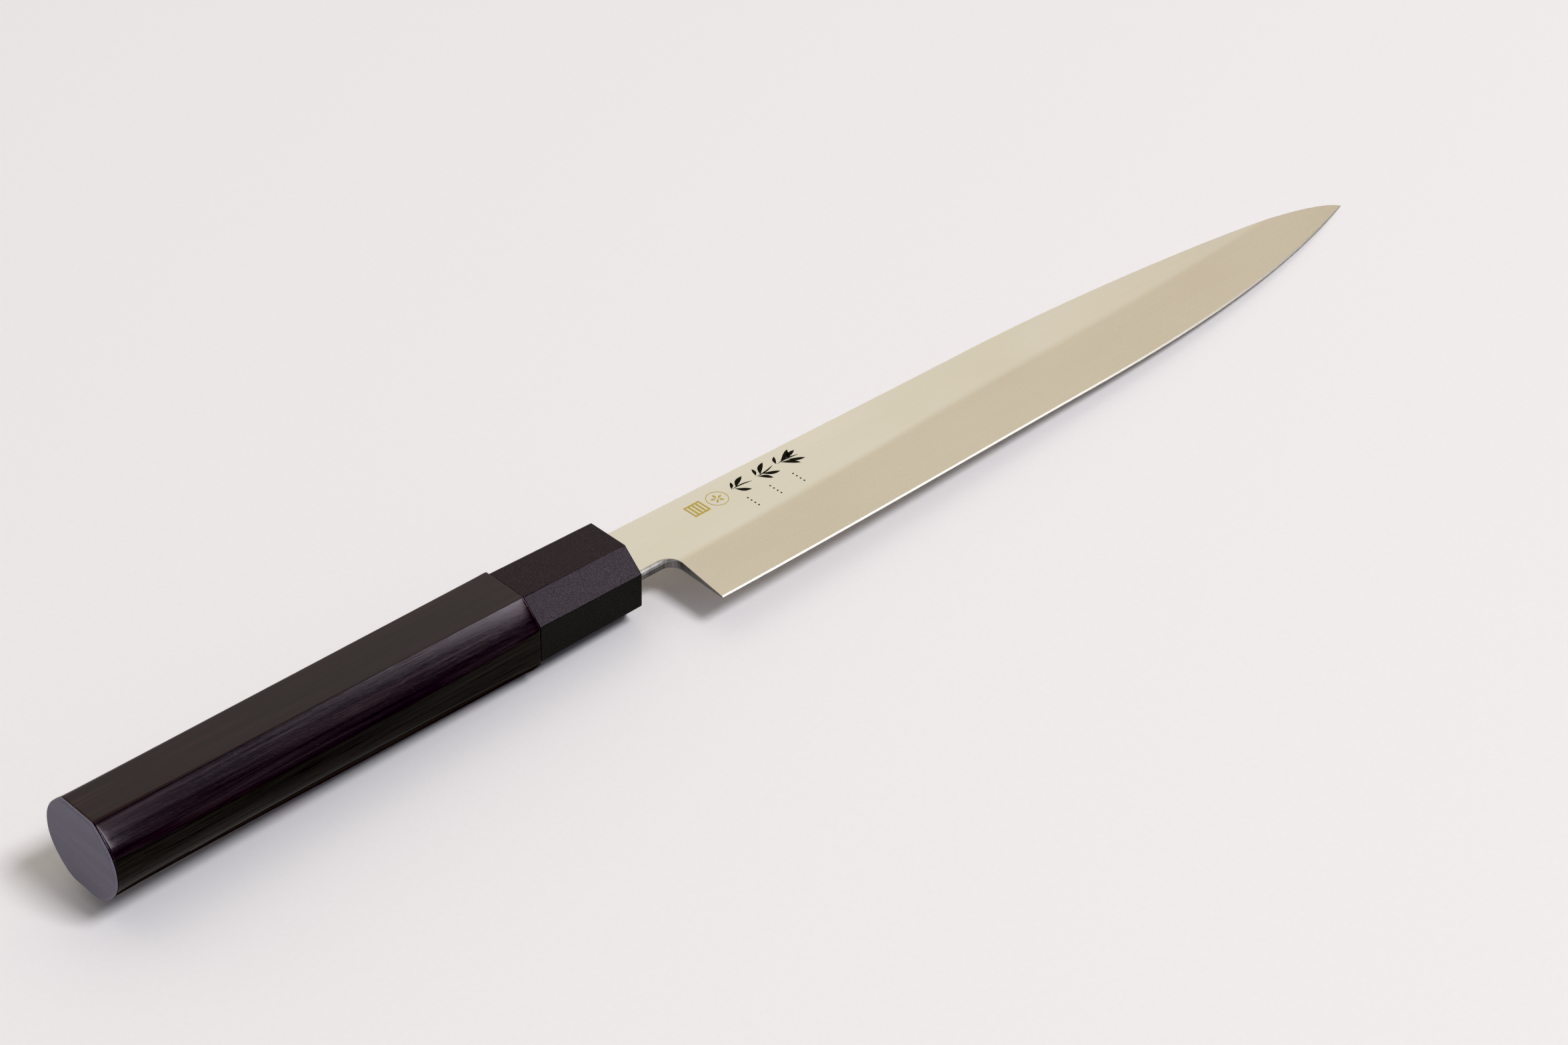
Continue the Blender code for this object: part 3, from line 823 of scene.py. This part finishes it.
def make_ferrule():
    """Moulded collar with eased edges, slotted for the neck and bored for the dowel."""
    rings = []
    for angle in (0, 18, 36, 54, 72, 90):
        turn = math.radians(angle)
        section = inset(FERRULE_FRONT, FERRULE_NOSE * (1 - math.sin(turn)))
        x = FERRULE_PROUD - FERRULE_NOSE * (1 - math.cos(turn))
        rings.append((x, octagon(section, (FERRULE_EDGE,) * 3)))
    front = FERRULE_PROUD - FERRULE_NOSE
    for share in (0.25, 0.5, 0.75):
        section = blend(FERRULE_FRONT, FERRULE_SEAM, share)
        x = front - (FERRULE_LENGTH + front) * share
        rings.append((x, octagon(section, (FERRULE_EDGE,) * 3)))
    for angle in (90, 45, 0):
        turn = math.radians(angle)
        section = inset(FERRULE_SEAM, FERRULE_SEAM_EASE * (1 - math.sin(turn)))
        x = -FERRULE_LENGTH + FERRULE_SEAM_EASE * (1 - math.cos(turn))
        rings.append((x, octagon(section, (FERRULE_SEAM_EDGE,) * 3)))
    ferrule = loft("ferrule_moulded", rings)
    # Painted shade and light by facet direction: the upper copy is glossy with strong painted
    # sparkle, the upright sides a near-matt copy, and the lower slants a matt copy whose lighter
    # base colour stands in for light they don't get.
    upper = ferrule_resin("ferrule_resin", 0.24, (0.011, 0.006, 0.009), UPPER_SHEEN, 4.5)
    sides = ferrule_resin("ferrule_resin_sides_painted_shading", 0.05, (0.0165, 0.0163, 0.0142), PLAIN_SHEEN)
    under = ferrule_resin("ferrule_resin_under_painted_light", 0.0, (0.036, 0.035, 0.031), PLAIN_SHEEN)
    for skin in (upper, sides, under):
        ferrule.data.materials.append(skin)
    weld_and_smooth(ferrule, HANDLE_SHARP)
    for polygon in ferrule.data.polygons:
        polygon.material_index = painted_shading_slot(polygon.normal)
    bore = circle((0, 0), BORE_RADIUS, BORE_STEPS)
    cut_out(ferrule, "ferrule_bore", (-FERRULE_LENGTH - CUT_OVERLAP, -FERRULE_WALL), bore)
    slot = box_ring(NECK_HALF + SLOT_GAP, HALF + SLOT_GAP, NECK_MIDDLE)
    cut_out(ferrule, "ferrule_slot", (-FERRULE_WALL - CUT_OVERLAP, CUT_OVERLAP), slot)
    weighted_normals(ferrule)
    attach(ferrule, "root")
    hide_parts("ferrule")


def rounded_slot_ring(half_y, half_z, radius, centre_y, steps=6):
    """A rectangle with round corners, as (y, z) points."""
    points = []
    for sign_y, sign_z, start in ((1, 1, 0), (-1, 1, 90), (-1, -1, 180), (1, -1, 270)):
        for step in range(steps + 1):
            turn = math.radians(start + 90 * step / steps)
            points.append((
                centre_y + sign_y * (half_y - radius) + radius * math.cos(turn),
                sign_z * (half_z - radius) + radius * math.sin(turn),
            ))
    return points


def make_seal():
    """A soft fillet of black sealant between the slot and the neck."""
    rings = []
    for x, out in SEAL_PROFILE:
        ring = rounded_slot_ring(NECK_HALF + out, HALF + out, SEAL_CORNER + out, NECK_MIDDLE)
        rings.append([(x, y, z) for y, z in ring])
    count = len(rings[0])
    faces = []
    for index in range(len(rings)):
        first, second = index * count, (index + 1) % len(rings) * count
        for point in range(count):
            following = (point + 1) % count
            faces.append([first + point, first + following, second + following, second + point])
    seal = new_mesh("slot_seal_bead", sum(rings, []), faces)
    seal.data.materials.append(seal_compound())
    weld_and_smooth(seal, SEAL_SHARP, FINE_WELD)
    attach(seal, "root")
    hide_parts("slot_seal")


# ---------------------------------------------------------------- materials


class Nodes:
    """Short calls for building one procedural material."""

    def __init__(self, name):
        self.material = bpy.data.materials.new(name)
        self.material.use_nodes = True
        self.tree = self.material.node_tree
        self.shader = self.tree.nodes["Principled BSDF"]
        self.place = self.tree.nodes.new("ShaderNodeTexCoord").outputs["Object"]

    def set(self, **values):
        for name, value in values.items():
            self.shader.inputs[name.replace("_", " ")].default_value = value

    def link(self, source, socket):
        self.tree.links.new(source, socket)

    def paint(self, colour):
        self.link(colour, self.shader.inputs["Base Color"])

    def rough(self, factor, low, high):
        self.link(self.span(factor, low, high), self.shader.inputs["Roughness"])

    def relief(self, normal):
        self.link(normal, self.shader.inputs["Normal"])

    def stretch(self, scale, turn=(0.0, 0.0, 0.0)):
        mapping = self.tree.nodes.new("ShaderNodeMapping")
        mapping.inputs["Scale"].default_value = scale
        mapping.inputs["Rotation"].default_value = turn
        self.link(self.place, mapping.inputs["Vector"])
        return mapping.outputs["Vector"]

    def noise(self, vector, scale=1.0, detail=3.0, roughness=0.5):
        node = self.tree.nodes.new("ShaderNodeTexNoise")
        node.inputs["Scale"].default_value = scale
        node.inputs["Detail"].default_value = detail
        node.inputs["Roughness"].default_value = roughness
        self.link(vector, node.inputs["Vector"])
        return node.outputs["Fac"]

    def ramp(self, factor, *stops):
        """Colours or grey values along a factor."""
        node = self.tree.nodes.new("ShaderNodeValToRGB")
        elements = node.color_ramp.elements
        while len(elements) < len(stops):
            elements.new(0.5)
        for element, (position, colour) in zip(elements, stops):
            element.position = position
            element.color = (*colour, 1.0) if isinstance(colour, tuple) else (colour,) * 3 + (1.0,)
        self.link(factor, node.inputs["Fac"])
        return node.outputs["Color"]

    def span(self, factor, low, high):
        """A number that runs from low to high over the middle of a noise."""
        node = self.tree.nodes.new("ShaderNodeMapRange")
        node.inputs["From Min"].default_value = 0.3
        node.inputs["From Max"].default_value = 0.7
        node.inputs["To Min"].default_value = low
        node.inputs["To Max"].default_value = high
        self.link(factor, node.inputs["Value"])
        return node.outputs["Result"]

    def multiply(self, first, second):
        node = self.tree.nodes.new("ShaderNodeMix")
        node.data_type = "RGBA"
        node.blend_type = "MULTIPLY"
        node.inputs[0].default_value = 1.0
        self.link(first, node.inputs[6])
        self.link(second, node.inputs[7])
        return node.outputs[2]

    def bump(self, height, distance, strength=1.0, after=None):
        node = self.tree.nodes.new("ShaderNodeBump")
        node.inputs["Distance"].default_value = distance
        node.inputs["Strength"].default_value = strength
        self.link(height, node.inputs["Height"])
        if after is not None:
            self.link(after, node.inputs["Normal"])
        return node.outputs["Normal"]


def blade_steel():
    """Satin stainless: an almost even fine grain, with faint lengthwise polishing lines."""
    m = Nodes("blade_steel")
    m.set(Metallic=1.0)
    lines = m.noise(m.stretch((60.0, 3600.0, 3600.0)), detail=4.0, roughness=0.6)
    specks = m.noise(m.stretch((1.0, 1.0, 1.0)), scale=5200.0, detail=3.0, roughness=0.6)
    haze = m.noise(m.stretch((22.0, 60.0, 60.0)), detail=2.0)
    colour = m.ramp(haze, (0.35, (0.835, 0.785, 0.700)), (0.65, (0.865, 0.820, 0.745)))
    fine = m.ramp(specks, (0.30, 0.965), (0.70, 1.0))
    colour = m.multiply(colour, fine)
    brushed = m.ramp(lines, (0.25, 0.965), (0.75, 1.0))
    m.paint(m.multiply(colour, brushed))
    m.rough(specks, 0.20, 0.28)
    grain = m.bump(specks, 0.0000008, 0.5)
    m.relief(m.bump(lines, 0.000001, 0.5, grain))
    return m.material


def edge_steel():
    """The final bevel, finished on a finer stone and brighter than the rest."""
    m = Nodes("edge_steel")
    m.set(Metallic=1.0)
    strokes = m.noise(m.stretch((5000.0, 900.0, 900.0)), detail=3.0)
    m.paint(m.ramp(strokes, (0.3, (0.60, 0.585, 0.56)), (0.7, (0.66, 0.645, 0.62))))
    m.rough(strokes, 0.30, 0.36)
    return m.material


def ground_wall_steel_painted_shading(name, dark, light):
    """Neck and choil walls, left from coarse grinding across their thickness; a lighter copy for
    the rounded band off the face is painted light, a darker copy for the walls below is painted
    shade.
    """
    m = Nodes(name)
    m.set(Metallic=1.0)
    marks = m.noise(m.stretch((3000.0, 3000.0, 200.0)), detail=4.0, roughness=0.65)
    broad = m.noise(m.stretch((700.0, 700.0, 90.0)), detail=2.0)
    low = (dark, dark * 0.96, dark * 0.90)
    high = (light, light * 0.97, light * 0.92)
    colour = m.ramp(marks, (0.32, low), (0.62, high))
    shade = m.ramp(broad, (0.35, 0.72), (0.65, 1.0))
    m.paint(m.multiply(colour, shade))
    m.rough(marks, 0.38, 0.52)
    m.relief(m.bump(marks, 0.00001, 0.5))
    return m.material


def black_ink():
    """Baked black ink, slightly worn at the grain of the steel."""
    m = Nodes("black_ink")
    m.set(Specular_IOR_Level=0.12)
    wear = m.noise(m.stretch((900.0, 3200.0, 3200.0)), detail=3.0, roughness=0.7)
    m.paint(m.ramp(wear, (0.26, (0.014, 0.013, 0.010)), (0.50, (0.004, 0.004, 0.0035))))
    m.rough(wear, 0.62, 0.42)
    m.relief(m.bump(wear, 0.00001, 0.4))
    return m.material


def gold_ink():
    """Ochre gold ink with fine metallic grain."""
    m = Nodes("gold_ink")
    m.set(Metallic=0.2, Specular_IOR_Level=0.3)
    grain = m.noise(m.stretch((1.0, 1.0, 1.0)), scale=5200.0, detail=3.0, roughness=0.7)
    m.paint(m.ramp(grain, (0.30, (0.42, 0.31, 0.045)), (0.70, (0.56, 0.44, 0.085))))
    m.rough(grain, 0.55, 0.38)
    m.relief(m.bump(grain, 0.00001, 0.5))
    return m.material


def ferrule_resin(name, gloss, tint, sheen_tint, painted_sparkle=1.6):
    """Filled black-brown resin with a fine eroded mould texture in light and dark flecks: partly
    real texture, partly painted sparkle, much stronger in the upper facets' copy.
    """
    m = Nodes(name)
    m.set(IOR=1.5, Specular_IOR_Level=gloss, Specular_Tint=(*sheen_tint, 1.0))
    grains = m.noise(m.stretch((1.0, 1.0, 1.0)), scale=4600.0, detail=2.0, roughness=0.6)
    flecks = m.noise(m.stretch((1.0, 1.0, 1.0)), scale=3600.0, detail=3.0, roughness=0.7)
    # Light flecks are painted sparkle as well as texture.
    dark = tuple(part / painted_sparkle ** 0.6 for part in tint)
    light = tuple(part * painted_sparkle for part in tint)
    colour = m.ramp(flecks, (0.38, dark), (0.54, tint), (0.72, light))
    m.paint(colour)
    m.rough(grains, 0.28, 0.42)
    m.relief(m.bump(grains, 0.00003, 0.6))
    return m.material


def grip_wood(name, gloss, tint, sheen_tint, spread=3.2):
    """Dark laminated wood: lengthwise pores and streaks over slow bands of colour."""
    m = Nodes(name)
    m.set(IOR=1.5, Specular_IOR_Level=gloss, Specular_Tint=(*sheen_tint, 1.0))
    lean = (0.0, 0.02, 0.035)
    streaks = m.noise(m.stretch((28.0, 1500.0, 1500.0), lean), detail=5.0, roughness=0.62)
    pores = m.noise(m.stretch((120.0, 5200.0, 5200.0), lean), detail=3.0, roughness=0.7)
    bands = m.noise(m.stretch((7.0, 320.0, 320.0), lean), detail=3.0)
    dark = tuple(part / spread for part in tint)
    light = tuple(part * spread for part in tint)
    colour = m.ramp(streaks, (0.30, dark), (0.52, tint), (0.74, light))
    band_tint = m.ramp(bands, (0.32, (0.62, 0.60, 0.66)), (0.68, (1.35, 1.15, 1.10)))
    colour = m.multiply(colour, band_tint)
    shade = m.ramp(pores, (0.30, 0.45), (0.48, 1.0))
    m.paint(m.multiply(colour, shade))
    m.rough(streaks, 0.14, 0.25)
    first = m.bump(streaks, 0.00003, 0.22)
    m.relief(m.bump(pores, 0.00003, 0.5, first))
    return m.material


def butt_wood():
    """End face of the grip: lighter, greyer and duller than the sides, with faint laminations."""
    m = Nodes("butt_wood")
    m.set(IOR=1.5)
    layers = m.noise(m.stretch((60.0, 60.0, 420.0)), detail=2.0)
    grain = m.noise(m.stretch((1.0, 1.0, 1.0)), scale=3600.0, detail=3.0, roughness=0.7)
    colour = m.ramp(layers, (0.3, (0.154, 0.144, 0.184)), (0.7, (0.174, 0.162, 0.206)))
    speck = m.ramp(grain, (0.32, 0.78), (0.6, 1.08))
    m.paint(m.multiply(colour, speck))
    m.rough(grain, 0.55, 0.75)
    m.relief(m.bump(grain, 0.00003, 0.5))
    return m.material


def seal_compound():
    """Matt black sealant, slightly lumpy."""
    m = Nodes("seal_compound")
    lumps = m.noise(m.stretch((1.0, 1.0, 1.0)), scale=1600.0, detail=3.0)
    m.paint(m.ramp(lumps, (0.3, (0.010, 0.009, 0.010)), (0.7, (0.022, 0.020, 0.022))))
    m.rough(lumps, 0.45, 0.65)
    m.relief(m.bump(lumps, 0.00006, 0.6))
    return m.material


def dowel_wood():
    """Pale straight-grained wood, hidden in the handle."""
    m = Nodes("dowel_wood")
    grain = m.noise(m.stretch((40.0, 1400.0, 1400.0)), detail=4.0)
    m.paint(m.ramp(grain, (0.3, (0.46, 0.31, 0.17)), (0.7, (0.70, 0.53, 0.34))))
    m.rough(grain, 0.55, 0.75)
    m.relief(m.bump(grain, 0.00006, 0.5))
    return m.material


def cured_epoxy():
    """Amber adhesive round the tang, hidden in the handle."""
    m = Nodes("cured_epoxy")
    cloud = m.noise(m.stretch((1.0, 1.0, 1.0)), scale=260.0, detail=3.0)
    m.paint(m.ramp(cloud, (0.3, (0.42, 0.29, 0.11)), (0.7, (0.62, 0.47, 0.22))))
    m.rough(cloud, 0.22, 0.40)
    m.relief(m.bump(cloud, 0.00008, 0.4))
    return m.material


def floor_paper():
    """Smooth white paper."""
    m = Nodes("floor_paper")
    fibre = m.noise(m.stretch((1.0, 1.0, 1.0)), scale=900.0, detail=3.0)
    m.paint(m.ramp(fibre, (0.3, (0.842, 0.825, 0.832)), (0.7, (0.856, 0.839, 0.846))))
    m.set(Roughness=0.75)
    return m.material


# ---------------------------------------------------------------- stage


def make_floor():
    """The knife rests on the lower front edge of its grip and on its point."""
    rest = Vector((GRIP_HIGH.x, ORIGIN.y, GRIP_LOW.z))
    point = Vector((BLADE_HIGH.x, ORIGIN.y, BLADE_LOW.z))
    lean = math.atan2(point.z - rest.z, point.x - rest.x)
    size = FLOOR_HALF
    corners = [(-size, -size, 0), (size, -size, 0), (size, size, 0), (-size, size, 0)]
    mesh = bpy.data.meshes.new("floor")
    mesh.from_pydata(corners, [], [(0, 1, 2, 3)])
    floor = bpy.data.objects.new("floor", mesh)
    bpy.context.scene.collection.objects.link(floor)
    below = Matrix.Translation(rest - Vector((0, 0, FLOOR_GAP)))
    floor.matrix_world = below @ Matrix.Rotation(-lean, 4, "Y")
    floor.data.materials.append(floor_paper())
    return floor


def area_light(name, direction, size, radiance, colour):
    """A flat panel facing the knife; radiance is how bright the panel itself looks."""
    data = bpy.data.lights.new(name, "AREA")
    data.shape = "RECTANGLE"
    data.size, data.size_y = size
    data.energy = radiance * math.pi * size[0] * size[1]
    data.color = colour
    lamp = bpy.data.objects.new(name, data)
    bpy.context.scene.collection.objects.link(lamp)
    back = Vector(direction).normalized()
    lamp.location = back * LIGHT_DISTANCE
    lamp.rotation_mode = "QUATERNION"
    lamp.rotation_quaternion = back.to_track_quat("Z", "Y")
    return lamp


def make_world():
    """A dim cool room with one warm pale wall, as a smooth gradient over directions."""
    world = bpy.data.worlds.new("studio")
    bpy.context.scene.world = world
    world.use_nodes = True
    tree = world.node_tree
    place = tree.nodes.new("ShaderNodeTexCoord").outputs["Generated"]
    toward = tree.nodes.new("ShaderNodeVectorMath")
    toward.operation = "DOT_PRODUCT"
    toward.inputs[1].default_value = Vector(WALL_DIRECTION).normalized()
    tree.links.new(place, toward.inputs[0])
    share = tree.nodes.new("ShaderNodeMapRange")
    share.inputs["From Min"].default_value = -1.0
    tree.links.new(toward.outputs["Value"], share.inputs["Value"])
    ramp = tree.nodes.new("ShaderNodeValToRGB")
    ramp.color_ramp.interpolation = "EASE"
    while len(ramp.color_ramp.elements) < len(WORLD_STOPS):
        ramp.color_ramp.elements.new(0.5)
    for stop, (position, colour) in zip(ramp.color_ramp.elements, WORLD_STOPS):
        stop.position = position
        stop.color = (*colour, 1.0)
    tree.links.new(share.outputs["Result"], ramp.inputs["Fac"])
    tree.links.new(ramp.outputs["Color"], tree.nodes["Background"].inputs["Color"])


def make_lights():
    """Soft light on the matt surfaces, and two small panels for the gleams of the glossy ones."""
    softbox = area_light(
        "softbox", SOFTBOX_DIRECTION, SOFTBOX_SIZE, SOFTBOX_RADIANCE, SOFTBOX_COLOUR
    )
    window = area_light("window", WINDOW_DIRECTION, WINDOW_SIZE, WINDOW_RADIANCE, WINDOW_COLOUR)
    fill = area_light("fill", FILL_DIRECTION, FILL_SIZE, FILL_RADIANCE, SOFTBOX_COLOUR)
    glint = area_light("edge_glint", GLINT_DIRECTION, GLINT_SIZE, GLINT_RADIANCE, WINDOW_COLOUR)
    for lamp in (softbox, fill):
        lamp.visible_glossy = False
    for lamp in (window, glint):
        lamp.visible_diffuse = False


def make_camera():
    data = bpy.data.cameras.new("camera")
    data.sensor_width = CAMERA_SENSOR
    data.lens = CAMERA_LENS
    camera = bpy.data.objects.new("camera", data)
    bpy.context.scene.collection.objects.link(camera)
    flat = math.cos(CAMERA_ELEVATION)
    across = flat * math.cos(CAMERA_AZIMUTH), flat * math.sin(CAMERA_AZIMUTH)
    back = Vector((*across, math.sin(CAMERA_ELEVATION)))
    right = Vector((0, 0, 1)).cross(back).normalized()
    up = back.cross(right)
    turned_right = right * math.cos(CAMERA_ROLL) + up * math.sin(CAMERA_ROLL)
    turned_up = up * math.cos(CAMERA_ROLL) - right * math.sin(CAMERA_ROLL)
    rotation = Matrix((turned_right, turned_up, back)).transposed()
    place = ORIGIN + (Vector(CAMERA_TARGET) + back * CAMERA_DISTANCE) * MM
    camera.matrix_world = Matrix.Translation(place) @ rotation.to_4x4()
    bpy.context.scene.camera = camera


def paint_hidden_nodes():
    """Materials for the CAD solids that stay inside the handle."""
    for name, skin in (("dowel", dowel_wood()), ("tang_adhesive", cured_epoxy())):
        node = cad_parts[name]
        node.data.materials.clear()
        node.data.materials.append(skin)


def develop_picture():
    """Plain display colours, with the black point a little above zero for deep shadows."""
    settings = bpy.context.scene.view_settings
    settings.view_transform = "Standard"
    settings.use_curve_mapping = True
    settings.curve_mapping.black_level = (BLACK_POINT,) * 3
    settings.curve_mapping.update()


def main():
    make_camera()
    make_floor()
    make_world()
    make_lights()
    make_blade()
    make_sprigs()
    make_printed_seal()
    make_ferrule()
    make_grip()
    make_seal()
    paint_hidden_nodes()
    develop_picture()


main()
